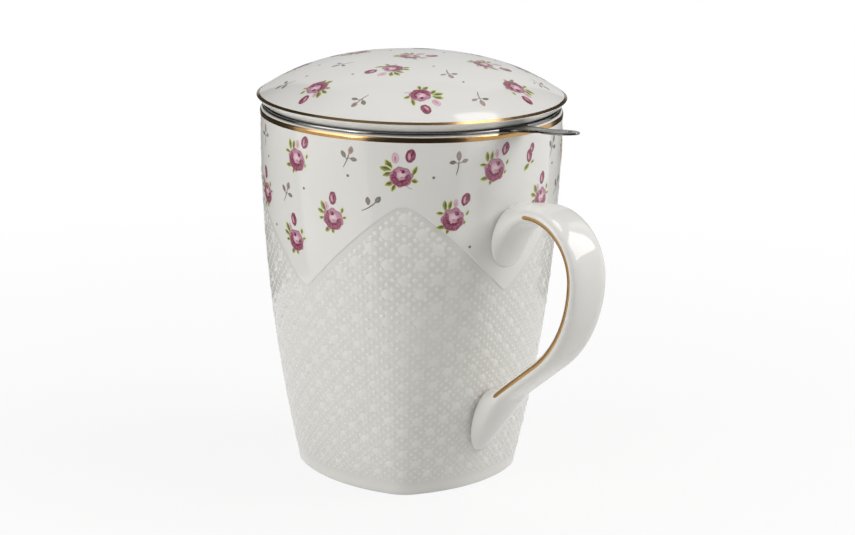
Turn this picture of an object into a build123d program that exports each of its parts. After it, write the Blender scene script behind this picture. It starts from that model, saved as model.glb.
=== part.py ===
from build123d import *
import math
import os

os.makedirs("parts", exist_ok=True)

# Lidded tea mug with a lift-out infuser. Millimetres, +Z up.
# The origin is the middle of the foot, on the table, and +X runs out along the handle.
# The body is round at the lip and a bulged square at the foot, with its sides facing +-X and +-Y.

# mug body
mug_height = 106.35  # table to the top of the lip
rim_radius = 43.2  # outside of the body at the lip
foot_corner = 31.4  # axis to a corner of the foot
foot_side = 28.6  # axis to the middle of a side of the foot
corner_angle = 26.0  # from the middle of a side to where the corner arcs begin
swell = 2.1  # how soon the body fills out above the foot
square_fade = 1.5  # how high the square carries before it turns round
wall = 3.1
floor_thickness = 4.0
foot_ring = 4.2  # width of the unglazed ring that the mug stands on
foot_recess = 2.2
foot_turn = 0.8
recess_turn = 0.6
cavity_turn = 4.0
lip_round = 1.0
body_sections = 9
level_spacing = 1.4  # above 1 draws the sections closer together at the foot
turn_sections = 4

# handle: a ribbon that springs from an oval pad, turns over a tight crown,
# sweeps down in a wide curve and runs straight into a long leaf on the body
ribbon_width = 13.3
ribbon_thickness = 4.4
ribbon_fullness = 0.80  # blunt edges
pad_fullness = 0.56  # close to an ellipse
upper_pad_height = 75.2
ribbon_rise = 9.65  # middle of the pad up to the middle of the ribbon where it comes free
upper_pad_half = 10.0
upper_pad_width = 15.0
upper_reach = 13.05  # from the body to where the ribbon is free
crown_radius = 16.0
sweep_radius = 33.4
sweep_angle = 51.3
straight_run = 14.5
lower_pad_height = 20.0
lower_pad_half = 12.4
lower_pad_width = 13.0
pad_sink = 1.8  # how far the pads run into the body before they are cut to it
root_sections = 4
crown_sections = 5
sweep_sections = 4

# infuser
sheet = 0.5
flange_inset = 0.5  # lip's outer edge to the flange's
bead_radius = 0.45
collar_gap = 3.6  # collar to the inside of the lip
collar_depth = 9.0
collar_bend = 1.0
weld_band = 5.0
mesh_thickness = 0.6
basket_depth = 66.0
basket_gap = 1.6  # foot of the basket to the wall of the mug
seam_width = 5.0
bottom_band = 4.0
bottom_flange = 4.4
disc_clearance = 0.05

# infuser tab
tab_azimuth = -2.0
tab_length = 24.8  # out of the flange
tab_rise_angle = 6.0
tab_thickness = 0.6
tab_root = 10.5
tab_neck = 4.2
tab_paddle = 6.6
tab_neck_at = 8.3  # out of the flange
tab_paddle_at = 18.3
tab_hole_radius = 0.95
tab_hole_inset = 3.4

# lid
lid_overhang = 1.0  # past the lip
lid_edge_rise = 2.9  # seat to the widest line
lid_band_bulge = 0.3
dome_height = 11.2
dome_power = 2.75  # above 2 flattens the crown and drops the shoulder
lid_wall = 3.2
bead_clearance = 1.1  # lid's seat to the flange's rolled edge
spigot_clearance = 0.7
spigot_wall = 2.6
spigot_depth = 7.5
spigot_turn = 0.8
dome_stations = (0, 0.28, 0.52, 0.72, 0.87, 0.96)  # shares of the radius

shoulder = mug_height - lip_round  # the body is fully round from here up
flange_radius = rim_radius - flange_inset
collar_outside = rim_radius - wall - collar_gap
collar_inside = collar_outside - sheet
seat_level = mug_height + sheet
spigot_outside = collar_inside - spigot_clearance
lid_radius = rim_radius + lid_overhang
basket_bottom = mug_height - basket_depth
ribbon_height = upper_pad_height + ribbon_rise


def body_corner(level):
    """Axis to corner at a height."""
    rise = level / shoulder
    return foot_corner + (rim_radius - foot_corner) * (1 - (1 - rise) ** swell)


def body_side(level):
    """Axis to the middle of a side at a height."""
    squareness = (1 - foot_side / foot_corner) * (1 - (level / shoulder) ** square_fade)
    return body_corner(level) * (1 - squareness)


def polar(radius, angle, centre=(0, 0)):
    return (centre[0] + radius * math.cos(angle), centre[1] + radius * math.sin(angle))


def bulged_square(level, inset=0.0):
    """Face at a height: four wide side arcs and four corner arcs, all tangent."""
    diagonal = math.sqrt(0.5)
    corner = (body_corner(level) - inset) * diagonal
    side = body_side(level) - inset
    meet = math.radians(corner_angle)
    sine = math.sin(meet)
    cosine = math.cos(meet)
    # the wide and the small radius from two tangency conditions
    spread = sine - diagonal
    slant = sine - cosine
    scale = spread * (slant + 1) - sine * slant
    wide = (side * spread - corner * slant) / scale
    small = (side * sine - corner * (slant + 1)) / scale
    side_centre = side - wide
    reach = corner - small * diagonal
    arcs = []
    for quarter in range(4):
        turn = Rotation(0, 0, 90 * quarter)
        side_arc = [polar(wide, angle, (side_centre, 0)) for angle in (-meet, 0, meet)]
        corner_angles = (meet, math.pi / 4, math.pi / 2 - meet)
        corner_arc = [polar(small, angle, (reach, reach)) for angle in corner_angles]
        arcs += [turn * ThreePointArc(*side_arc), turn * ThreePointArc(*corner_arc)]
    return Pos(0, 0, level) * make_face(arcs)


def body_form(start, inset, turn):
    """Solid from a start height to the shoulder, its lower edge turned in."""
    quarter = [math.pi / 2 * i / turn_sections for i in range(turn_sections + 1)]
    turned = [
        bulged_square(start + turn * (1 - math.cos(angle)), inset + turn * (1 - math.sin(angle)))
        for angle in quarter
    ]
    low = start + turn
    steps = [i / (body_sections - 1) for i in range(body_sections)]
    levels = [low + (shoulder - low) * step**level_spacing for step in steps]
    upright = loft([bulged_square(level, inset) for level in levels])
    return loft(turned, ruled=True) + upright


def make_lip():
    """Rounded ring on the shoulder."""
    inside = rim_radius - wall
    corner = lip_round * (1 - math.sqrt(0.5))
    profile = [
        Line((inside, shoulder), (rim_radius, shoulder)),
        ThreePointArc(
            (rim_radius, shoulder),
            (rim_radius - corner, mug_height - corner),
            (rim_radius - lip_round, mug_height),
        ),
        Line((rim_radius - lip_round, mug_height), (inside + lip_round, mug_height)),
        ThreePointArc(
            (inside + lip_round, mug_height),
            (inside + corner, mug_height - corner),
            (inside, shoulder),
        ),
    ]
    return revolve(Plane.XZ * make_face(profile), Axis.Z)


def make_mug_body(outside):
    cavity = body_form(foot_recess + floor_thickness, wall, cavity_turn)
    recess = extrude(bulged_square(0, foot_ring), foot_recess)
    recess = fillet(recess.faces().sort_by(Axis.Z)[-1].edges(), recess_turn)
    return outside - cavity - recess + make_lip()


def ribbon_face(x, z, heading, half_width, outward, inward, fullness):
    """Closed section across the ribbon, its heading in degrees in the XZ plane."""
    along = (math.cos(math.radians(heading)), 0, math.sin(math.radians(heading)))
    plane = Plane(origin=(x, 0, z), x_dir=(0, 1, 0), z_dir=along)
    sides = []
    quarters = (
        (half_width, outward),
        (-half_width, outward),
        (-half_width, -inward),
        (half_width, -inward),
    )
    for wide, tall in quarters:
        quarter = [(wide, 0), (wide, tall * fullness), (wide * fullness, tall), (0, tall)]
        sides.append(Bezier(*quarter))
    return plane * make_face(sides)


def pad_sections(wall_at, pad_height, pad_half, pad_width, free_at, heading, wall_heading):
    """Sections from inside the wall out to the free ribbon."""
    slope = math.tan(math.radians(heading))
    line_at_wall = free_at[1] + slope * (wall_at - free_at[0])
    faces = []
    for i in range(root_sections):
        way = i / root_sections
        pad_share = (1 - way) ** 2
        x = wall_at + (free_at[0] - wall_at) * way
        z = free_at[1] + slope * (x - free_at[0]) + (pad_height - line_at_wall) * pad_share
        half = ribbon_thickness / 2 + (pad_half - ribbon_thickness / 2) * pad_share
        half_width = (ribbon_width + (pad_width - ribbon_width) * pad_share) / 2
        fullness = ribbon_fullness + (pad_fullness - ribbon_fullness) * math.sqrt(pad_share)
        angle = heading + (wall_heading - heading) * pad_share
        faces.append(ribbon_face(x, z, angle, half_width, half, half, fullness))
    return faces


def ribbon_stations():
    """(x, z, heading) along the free ribbon."""
    start_x = body_side(upper_pad_height) + upper_reach
    crown_centre = (start_x, ribbon_height - crown_radius)
    stations = []
    for i in range(crown_sections):
        turned = math.radians(90 * i / crown_sections)
        x = crown_centre[0] + crown_radius * math.sin(turned)
        z = crown_centre[1] + crown_radius * math.cos(turned)
        stations.append((x, z, -math.degrees(turned)))
    sweep_centre = (start_x + crown_radius - sweep_radius, crown_centre[1])
    for i in range(sweep_sections + 1):
        turned = math.radians(sweep_angle * i / sweep_sections)
        x = sweep_centre[0] + sweep_radius * math.cos(turned)
        z = sweep_centre[1] - sweep_radius * math.sin(turned)
        stations.append((x, z, -90 - math.degrees(turned)))
    x, z, heading = stations[-1]
    tail = math.radians(heading)
    stations.append((x + straight_run * math.cos(tail), z + straight_run * math.sin(tail), heading))
    return stations


def make_mug_handle(outside):
    stations = ribbon_stations()
    half = ribbon_thickness / 2
    upper_wall = body_side(upper_pad_height) - pad_sink
    upper = pad_sections(
        upper_wall, upper_pad_height, upper_pad_half, upper_pad_width, stations[0][:2], 0, 0
    )
    lower_end = body_side(lower_pad_height - lower_pad_half)
    upper_end = body_side(lower_pad_height + lower_pad_half)
    lean = math.atan2(upper_end - lower_end, 2 * lower_pad_half)
    lower_wall = body_side(lower_pad_height) - pad_sink
    lower = pad_sections(
        lower_wall,
        lower_pad_height,
        lower_pad_half,
        lower_pad_width,
        stations[-1][:2],
        stations[-1][2],
        -180 - math.degrees(lean),
    )
    middle = [
        ribbon_face(x, z, heading, ribbon_width / 2, half, half, ribbon_fullness)
        for x, z, heading in stations
    ]
    ribbon = loft(upper + middle + lower[::-1])
    return (ribbon - outside).solids().sort_by(SortBy.VOLUME)[-1]


def make_infuser_rim():
    """Flange with a rolled edge, drawn collar and lifting tab, one stamping."""
    bend_inner = collar_bend
    bend_outer = collar_bend + sheet
    centre = (collar_outside + bend_inner, mug_height - bend_inner)
    low = mug_height - collar_depth
    corner = math.sqrt(0.5)
    profile = [
        Line((flange_radius - bead_radius, mug_height), (centre[0], mug_height)),
        ThreePointArc(
            (centre[0], mug_height),
            (centre[0] - bend_inner * corner, centre[1] + bend_inner * corner),
            (collar_outside, centre[1]),
        ),
        Line((collar_outside, centre[1]), (collar_outside, low)),
        Line((collar_outside, low), (collar_inside, low)),
        Line((collar_inside, low), (collar_inside, centre[1])),
        ThreePointArc(
            (collar_inside, centre[1]),
            (centre[0] - bend_outer * corner, centre[1] + bend_outer * corner),
            (centre[0], seat_level),
        ),
        Line((centre[0], seat_level), (flange_radius - bead_radius, seat_level)),
        Line((flange_radius - bead_radius, seat_level), (flange_radius - bead_radius, mug_height)),
    ]
    ring = revolve(Plane.XZ * make_face(profile), Axis.Z)
    bead_centre = Pos(flange_radius - bead_radius, mug_height + bead_radius)
    bead = revolve(Plane.XZ * bead_centre * Circle(bead_radius), Axis.Z)
    return ring + bead + make_tab()


def make_tab():
    """Tongue with a narrow neck and an oval end, rising a little from the flange."""
    start = flange_radius - 2 * bead_radius
    neck_x = flange_radius + tab_neck_at - start
    paddle_x = flange_radius + tab_paddle_at - start
    tip_x = flange_radius + tab_length - start
    neck = tab_neck / 2
    paddle = tab_paddle / 2
    middle = (neck_x + paddle_x) / 2
    edge = [
        Bezier((0, tab_root / 2), (neck_x / 3, neck), (neck_x / 2, neck), (neck_x, neck)),
        Bezier((neck_x, neck), (middle, neck), (middle, paddle), (paddle_x, paddle)),
        Bezier((paddle_x, paddle), ((paddle_x + tip_x) / 2, paddle), (tip_x, paddle / 2), (tip_x, 0)),
    ]
    root = Line((0, tab_root / 2), (0, -tab_root / 2))
    outline = edge + [mirror(curve, Plane.XZ) for curve in edge] + [root]
    tongue = extrude(make_face(outline), -tab_thickness)
    hole = Cylinder(tab_hole_radius, 2 * tab_thickness)
    tongue -= Pos(tip_x - tab_hole_inset, 0, -tab_thickness / 2) * hole
    raised = Pos(start, 0, seat_level + bead_radius / 2) * Rotation(0, -tab_rise_angle, 0) * tongue
    return Rotation(0, 0, tab_azimuth) * raised


def basket_foot_inside():
    """Inside of the mesh at the foot of the basket, kept clear of the mug."""
    return body_side(basket_bottom) - wall - basket_gap - sheet - mesh_thickness


def make_infuser_wall():
    """Mesh rolled into a cone with a lapped seam, straight where it is welded and crimped."""
    top = mug_height - collar_depth + weld_band
    cone_top = mug_height - collar_depth
    foot = basket_bottom + sheet
    cone_foot = foot + bottom_band
    narrow = basket_foot_inside()
    inner = [
        (collar_outside, top),
        (collar_outside, cone_top),
        (narrow, cone_foot),
        (narrow, foot),
    ]
    outer = [(radius + mesh_thickness, level) for radius, level in inner]
    shell = revolve(Plane.XZ * make_face(Polyline(*inner, *outer[::-1], close=True)), Axis.Z)
    lap = [(radius + mesh_thickness, level) for radius, level in outer[1:3]]
    seam_angle = math.degrees(seam_width / collar_outside)
    strip = Plane.XZ * make_face(Polyline(*outer[1:3], *lap[::-1], close=True))
    seam = Rotation(0, 0, 180 - seam_angle / 2) * revolve(strip, Axis.Z, seam_angle)
    return shell + seam


def make_infuser_bottom_ring():
    """Crimped ring that ties the wall to the bottom disc."""
    inner = basket_foot_inside() + mesh_thickness
    outer = inner + sheet
    profile = Polyline(
        (inner, basket_bottom + sheet + bottom_band),
        (outer, basket_bottom + sheet + bottom_band),
        (outer, basket_bottom),
        (outer - bottom_flange, basket_bottom),
        (outer - bottom_flange, basket_bottom + sheet),
        (inner, basket_bottom + sheet),
        close=True,
    )
    return revolve(Plane.XZ * make_face(profile), Axis.Z)


def make_infuser_bottom():
    level = basket_bottom + sheet + mesh_thickness / 2
    return Pos(0, 0, level) * Cylinder(basket_foot_inside() - disc_clearance, mesh_thickness)


def dome(radius, drop=0.0):
    """Height of the outside of the lid, or of its underside at a drop below it."""
    edge = seat_level + lid_edge_rise
    return edge + dome_height * (1 - (radius / lid_radius) ** dome_power) - drop


def make_lid():
    """Domed shell with a rolled-under edge, a flat seat and a spigot."""
    seat_outside = flange_radius - 2 * bead_radius - bead_clearance
    spigot_inside = spigot_outside - spigot_wall
    low = seat_level - spigot_depth
    edge = seat_level + lid_edge_rise
    reach = [lid_radius * share for share in dome_stations]
    top = Spline(
        *[(radius, dome(radius)) for radius in reach],
        (lid_radius, edge),
        tangents=((1, 0), (1, -dome_height * dome_power / lid_radius)),
    )
    band_middle = (
        (seat_outside + lid_radius) / 2 + lid_band_bulge,
        (seat_level + edge) / 2 - lid_band_bulge / 2,
    )
    band = ThreePointArc((lid_radius, edge), band_middle, (seat_outside, seat_level))
    hollow = [spigot_inside * share for share in (1, 0.7, 0.35)]
    underside = Spline(
        *[(radius, dome(radius, lid_wall)) for radius in hollow],
        (0, dome(0, lid_wall)),
        tangents=((-1, 0.5), (-1, 0)),
    )
    profile = [
        top,
        band,
        Line((seat_outside, seat_level), (spigot_outside, seat_level)),
        Line((spigot_outside, seat_level), (spigot_outside, low)),
        Line((spigot_outside, low), (spigot_inside, low)),
        Line((spigot_inside, low), (spigot_inside, dome(spigot_inside, lid_wall))),
        underside,
        Line((0, dome(0, lid_wall)), (0, dome(0))),
    ]
    lid = revolve(Plane.XZ * make_face(profile), Axis.Z)
    return fillet(lid.edges().group_by(Axis.Z)[0], spigot_turn)


def main():
    outside = body_form(0, 0, foot_turn)
    nodes = {
        "mug_body": make_mug_body(outside),
        "mug_handle": make_mug_handle(outside),
        "lid": make_lid(),
        "infuser_rim": make_infuser_rim(),
        "infuser_wall": make_infuser_wall(),
        "infuser_bottom_ring": make_infuser_bottom_ring(),
        "infuser_bottom": make_infuser_bottom(),
    }
    for name, shape in nodes.items():
        export_step(shape, f"parts/{name}.step")


main()
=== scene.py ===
import bpy
import math
import numpy as np
from itertools import product
from mathutils import Matrix, Vector


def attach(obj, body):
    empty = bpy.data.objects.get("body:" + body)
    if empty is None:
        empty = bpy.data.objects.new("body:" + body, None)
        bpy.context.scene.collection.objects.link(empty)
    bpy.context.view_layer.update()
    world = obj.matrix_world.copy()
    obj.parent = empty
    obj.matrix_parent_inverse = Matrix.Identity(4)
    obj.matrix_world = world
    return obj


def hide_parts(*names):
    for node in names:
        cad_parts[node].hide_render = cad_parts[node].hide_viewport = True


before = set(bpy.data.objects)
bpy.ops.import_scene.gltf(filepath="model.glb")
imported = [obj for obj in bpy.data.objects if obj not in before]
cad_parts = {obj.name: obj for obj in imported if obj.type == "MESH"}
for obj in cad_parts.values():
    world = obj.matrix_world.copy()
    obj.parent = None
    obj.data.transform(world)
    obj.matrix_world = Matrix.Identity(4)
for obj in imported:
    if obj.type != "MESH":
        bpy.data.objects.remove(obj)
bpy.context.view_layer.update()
print("frame loaded:", ", ".join(sorted(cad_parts)))

mm = 0.001  # shapes are written in millimetres and become metres in their meshes
luck = np.random.default_rng(7)


def toLinear(rgb):
    # sRGB 0-255 to the linear colour that sockets and attributes take
    share = [c / 255 for c in rgb]
    return tuple(c / 12.92 if c <= 0.04045 else ((c + 0.055) / 1.055) ** 2.4 for c in share)


def smoothStep(x):
    x = np.clip(x, 0, 1)
    return x * x * (3 - 2 * x)


def quarterTurn(steps):
    return np.linspace(0, math.pi / 2, steps + 1)


def fullTurn(steps):
    return np.linspace(0, 2 * math.pi, steps, endpoint=False)


def arcPoints(centre, radius, startAngle, endAngle, count):
    angles = np.radians(np.linspace(startAngle, endAngle, count + 1))
    return [(centre[0] + radius * math.cos(a), centre[1] + radius * math.sin(a)) for a in angles]


def addObject(name, data):
    thing = bpy.data.objects.new(name, data)
    bpy.context.scene.collection.objects.link(thing)
    return thing


def addMesh(name, points, faces, *materials, smooth=True, slots=None):
    mesh = bpy.data.meshes.new(name)
    mesh.from_pydata((np.asarray(points, float) * mm).tolist(), [], faces)
    for material in materials:
        mesh.materials.append(material)
    if slots is not None:
        mesh.polygons.foreach_set("material_index", slots)
    mesh.polygons.foreach_set("use_smooth", [smooth] * len(mesh.polygons))
    mesh.validate()
    return addObject(name, mesh)


def settle(piece, body, slotName, *nodes):
    # one place for the frame calls of a finished piece
    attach(piece, body)
    if nodes:
        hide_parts(*nodes)
    print("made", piece.name, "with", len(piece.data.polygons), "faces")


def rowNumbers(rows, wide, start=0):
    # the numbers of points that lie row after row
    return np.arange(start, start + rows * wide).reshape(rows, wide).tolist()


def stitch(rows, closed=True, flip=False):
    # faces between rows of point numbers; a row that repeats one number is a pole
    faces = []
    for low, high in zip(rows, rows[1:]):
        for i in range(len(low) if closed else len(low) - 1):
            j = (i + 1) % len(low)
            face = tuple(dict.fromkeys((low[i], low[j], high[j], high[i])))
            faces.append(face[::-1] if flip else face)
    return faces


def spinProfile(profile, around):
    # a profile of (radius, height) turned about the axis; radius 0 is a pole
    angles = fullTurn(around)
    points, rows = [], []
    for radius, height in profile:
        count = around if radius > 1e-6 else 1
        rows.append([len(points) + i % count for i in range(around)])
        points += [(radius * math.cos(a), radius * math.sin(a), height) for a in angles[:count]]
    return points, stitch(rows)


# Materials. Each one is a small node tree on a Principled shader.

finishes = {
    # mottle: scale and two tones; gloss: scale and range; bump: scale, metres, strength and stretch
    "whiteGlaze": {"mottle": (28, (229, 228, 224), (225, 223, 218)), "gloss": (45, 0.06, 0.12),
                   "bump": (160, 0.0002, 0.05, (1, 1, 1))},
    "bareBiscuit": {"mottle": (300, (228, 221, 209), (208, 200, 186)), "gloss": (500, 0.7, 0.85),
                    "bump": (1800, 0.0002, 0.3, (1, 1, 1))},
    "brightGold": {"metallic": 1.0, "mottle": (90, (196, 158, 108), (168, 130, 84)),
                   "gloss": (400, 0.12, 0.26), "bump": (1500, 0.00003, 0.2, (1, 1, 1))},
    "polishedSteel": {"metallic": 1.0, "mottle": (60, (150, 149, 147), (126, 125, 123)),
                      "gloss": (700, 0.08, 0.18), "bump": (900, 0.00003, 0.15, (1, 1, 9))},
    "wovenWire": {"metallic": 1.0, "mottle": (400, (186, 186, 184), (150, 150, 150)),
                  "gloss": (900, 0.22, 0.38)},
}
panelShadeTone = (219, 217, 212)  # painted shade: a darker glaze tone over the sunk panel's ground; the raised pads and beads keep the plain glaze
inkLook = {"grain": 2600, "breaks": (0.4, 0.75), "fade": 0.16, "faded": (238, 226, 226),
           "roughness": 0.22}


def newMaterial(name, roughness=0.5, metallic=0.0, colour=(0.8, 0.8, 0.8)):
    material = bpy.data.materials.new(name)
    material.use_nodes = True
    shader = material.node_tree.nodes["Principled BSDF"]
    shader.inputs["Roughness"].default_value = roughness
    shader.inputs["Metallic"].default_value = metallic
    shader.inputs["Base Color"].default_value = (*colour, 1)
    return material, material.node_tree, shader


def addNode(tree, kind, **values):
    # a value goes to the input of that name, or else to the node's own property
    node = tree.nodes.new(kind)
    for key, value in values.items():
        if key in node.inputs:
            node.inputs[key].default_value = value
        else:
            setattr(node, key, value)
    return node


def join(tree, *wires):
    for source, output, target, entry in wires:
        tree.links.new(source.outputs[output], target.inputs[entry])


def makeFinish(name):
    look = finishes[name]
    material, tree, shader = newMaterial(name, metallic=look.get("metallic", 0.0))
    place = addNode(tree, "ShaderNodeTexCoord")
    scale, light, dark = look["mottle"]
    drift = addNode(tree, "ShaderNodeTexNoise", Scale=scale, Detail=3.0)
    ramp = addNode(tree, "ShaderNodeValToRGB")
    for stop, position, tone in zip(ramp.color_ramp.elements, (0.3, 0.7), (dark, light)):
        stop.position, stop.color = position, (*toLinear(tone), 1)
    scale, low, high = look["gloss"]
    smear = addNode(tree, "ShaderNodeTexNoise", Scale=scale, Detail=2.0)
    spread = addNode(tree, "ShaderNodeMapRange", **{"To Min": low, "To Max": high})
    join(tree, (place, "Object", drift, "Vector"), (drift, "Fac", ramp, "Fac"),
         (ramp, "Color", shader, "Base Color"), (place, "Object", smear, "Vector"),
         (smear, "Fac", spread, "Value"), (spread, "Result", shader, "Roughness"))
    if "bump" in look:
        scale, distance, strength, stretch = look["bump"]
        mapping = addNode(tree, "ShaderNodeMapping", Scale=stretch)
        grain = addNode(tree, "ShaderNodeTexNoise", Scale=scale, Detail=4.0)
        bump = addNode(tree, "ShaderNodeBump", Strength=strength, Distance=distance)
        join(tree, (place, "Object", mapping, "Vector"), (mapping, "Vector", grain, "Vector"),
             (grain, "Fac", bump, "Height"), (bump, "Normal", shader, "Normal"))
    return material


def paintPanelShade(material):
    # painted shade: the glaze is mixed towards a darker tone where the mesh's point attribute marks the sunk
    # panel
    tree = material.node_tree
    shader = tree.nodes["Principled BSDF"]
    tone = shader.inputs["Base Color"].links[0].from_node
    panelShade = addNode(tree, "ShaderNodeAttribute", attribute_name="panelShade")
    mix = addNode(tree, "ShaderNodeMix", data_type="RGBA", B=(*toLinear(panelShadeTone), 1))
    join(tree, (panelShade, "Fac", mix, "Factor"), (tone, "Color", mix, "A"), (mix, "Result", shader, "Base Color"))
    return material


def makeInk():
    # overglaze colour: the mesh's ink attribute, broken up like a printed transfer
    material, tree, shader = newMaterial("transferInk", roughness=inkLook["roughness"])
    low, high = inkLook["breaks"]
    ink = addNode(tree, "ShaderNodeAttribute", attribute_name="ink")
    place = addNode(tree, "ShaderNodeTexCoord")
    noise = addNode(tree, "ShaderNodeTexNoise", Scale=inkLook["grain"], Detail=2.0)
    spread = addNode(tree, "ShaderNodeMapRange",
                     **{"From Min": low, "From Max": high, "To Max": inkLook["fade"]})
    mix = addNode(tree, "ShaderNodeMix", data_type="RGBA", B=(*toLinear(inkLook["faded"]), 1))
    join(tree, (place, "Object", noise, "Vector"), (noise, "Fac", spread, "Value"),
         (spread, "Result", mix, "Factor"), (ink, "Color", mix, "A"), (mix, "Result", shader, "Base Color"))
    return material


glaze, biscuit, gold, steel, wire = (makeFinish(name) for name in finishes)
# painted shade: the glaze turns darker over the sunk panel
paintPanelShade(glaze)
inkPrint = makeInk()
print("materials ready")


# Geometry Nodes trees for what repeats or follows a path.

def newTree(name, entries):
    # a node group that ends in Realize Instances and Set Material
    tree = bpy.data.node_groups.new(name, "GeometryNodeTree")
    entries = {"Geometry": ("Geometry", None), **entries, "Finish": ("Material", None)}
    for label, (kind, value) in entries.items():
        socket = tree.interface.new_socket(label, in_out="INPUT", socket_type="NodeSocket" + kind)
        if value is not None:
            socket.default_value = value
    tree.interface.new_socket("Geometry", in_out="OUTPUT", socket_type="NodeSocketGeometry")
    given, out = addNode(tree, "NodeGroupInput"), addNode(tree, "NodeGroupOutput")
    real, finish = addNode(tree, "GeometryNodeRealizeInstances"), addNode(tree, "GeometryNodeSetMaterial")
    join(tree, (real, "Geometry", finish, "Geometry"), (given, "Finish", finish, "Material"),
         (finish, "Geometry", out, "Geometry"))
    return tree, given, real


def makeCopyTree():
    # puts a shape on every point, turned and sized by the point's own attributes
    tree, given, real = newTree("copyOnPoints", {
        "Shape": ("Object", None), "Unevenness": ("Float", 0.05), "Seed": ("Int", 3),
    })
    toPoints = addNode(tree, "GeometryNodeMeshToPoints")
    turn = addNode(tree, "GeometryNodeInputNamedAttribute", data_type="FLOAT_VECTOR", Name="turn")
    size = addNode(tree, "GeometryNodeInputNamedAttribute", data_type="FLOAT_VECTOR", Name="size")
    low = addNode(tree, "ShaderNodeMath", operation="SUBTRACT")
    low.inputs[0].default_value = 1.0
    uneven = addNode(tree, "FunctionNodeRandomValue", data_type="FLOAT")
    varied = addNode(tree, "ShaderNodeVectorMath", operation="SCALE")
    shape = addNode(tree, "GeometryNodeObjectInfo")
    place = addNode(tree, "GeometryNodeInstanceOnPoints")
    join(tree, (given, "Geometry", toPoints, "Mesh"), (given, "Shape", shape, "Object"),
         (given, "Unevenness", low, 1), (low, "Value", uneven, 2), (given, "Seed", uneven, "Seed"),
         (size, "Attribute", varied, 0), (uneven, 1, varied, "Scale"), (toPoints, "Points", place, "Points"),
         (shape, "Geometry", place, "Instance"), (turn, "Attribute", place, "Rotation"),
         (varied, "Vector", place, "Scale"), (place, "Instances", real, "Geometry"))
    return tree


def makeWireTree():
    # draws a round wire along every chain of edges
    tree, given, real = newTree("wireAlongEdges", {"Thickness": ("Float", 0.0003), "Sides": ("Int", 4)})
    toCurve = addNode(tree, "GeometryNodeMeshToCurve")
    ring = addNode(tree, "GeometryNodeCurvePrimitiveCircle")
    half = addNode(tree, "ShaderNodeMath", operation="MULTIPLY")
    half.inputs[1].default_value = 0.5
    sweep = addNode(tree, "GeometryNodeCurveToMesh")
    join(tree, (given, "Geometry", toCurve, "Mesh"), (given, "Thickness", half, 0),
         (given, "Sides", ring, "Resolution"), (half, "Value", ring, "Radius"),
         (toCurve, "Curve", sweep, "Curve"), (ring, "Curve", sweep, "Profile Curve"),
         (sweep, "Mesh", real, "Geometry"))
    return tree


def runTree(name, host, tree, **values):
    # sets the inputs by identifier, bakes the result into a plain mesh and drops the modifier
    modifier = host.modifiers.new(name, "NODES")
    modifier.node_group = tree
    for item in tree.interface.items_tree:
        if item.item_type == "SOCKET" and item.in_out == "INPUT" and item.name in values:
            modifier[item.identifier] = values[item.name]
    bpy.context.view_layer.update()
    graph = bpy.context.evaluated_depsgraph_get()
    mesh = bpy.data.meshes.new_from_object(host.evaluated_get(graph))
    mesh.name = name
    host.modifiers.remove(modifier)
    bpy.data.objects.remove(host)
    mesh.polygons.foreach_set("use_smooth", [True] * len(mesh.polygons))
    return addObject(name, mesh)


def unitShape(name, outline, rings):
    # a low dome of height 1: rings are (share of the outline, height), from the skirt to the top
    points = [(x * share, y * share, height) for share, height in rings for x, y in outline] + [(0, 0, 1)]
    around = len(outline)
    mesh = bpy.data.meshes.new(name)
    mesh.from_pydata(points, [], stitch(rowNumbers(len(rings), around) + [[len(points) - 1] * around]))
    return bpy.data.objects.new(name, mesh)


copyTree = makeCopyTree()
wireTree = makeWireTree()


# The mug body: round at the lip, a bulged square at the foot, with a sunk embossed panel
# under a zigzag line on its lower part.

mug = {
    "height": 106.35, "shoulder": 105.35, "rim": 43.2, "footCorner": 31.4, "footSide": 28.6,
    "cornerAngle": 26.0, "swell": 2.1, "squareFade": 1.5, "wall": 3.1, "floor": 4.0, "lipRound": 1.0,
    "footRing": 4.2, "footRecess": 2.2, "footTurn": 0.8, "footFillet": 0.6, "cavityTurn": 4.0,
    "undersideShares": (0.12, 0.3, 0.5, 0.7, 0.85, 0.95), "floorShares": (0.8, 0.6, 0.4, 0.2),
    "around": 448, "panelRows": 73, "topRows": 24, "topBias": 1.3, "cavityRows": 25,
}
panel = {
    "peak": 87.15, "slope": 0.69, "peakRound": 3.6, "valleyRound": 1.2, "depth": 0.24,
    "edgeWidth": 0.7, "footGap": 1.5, "footFade": 3.0, "edgeZone": 2.2,
    "edgeDrops": (1.8, 1.5, 1.2, 1.0, 0.85, 0.7, 0.6, 0.5, 0.42, 0.35, 0.28, 0.2, 0.1, 0.0),
}


def bodyCorner(z):
    rise = np.clip(z / mug["shoulder"], 0, 1)
    return mug["footCorner"] + (mug["rim"] - mug["footCorner"]) * (1 - (1 - rise) ** mug["swell"])


def bodySide(z):
    rise = np.clip(z / mug["shoulder"], 0, 1)
    squareness = (1 - mug["footSide"] / mug["footCorner"]) * (1 - rise ** mug["squareFade"])
    return bodyCorner(z) * (1 - squareness)


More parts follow.
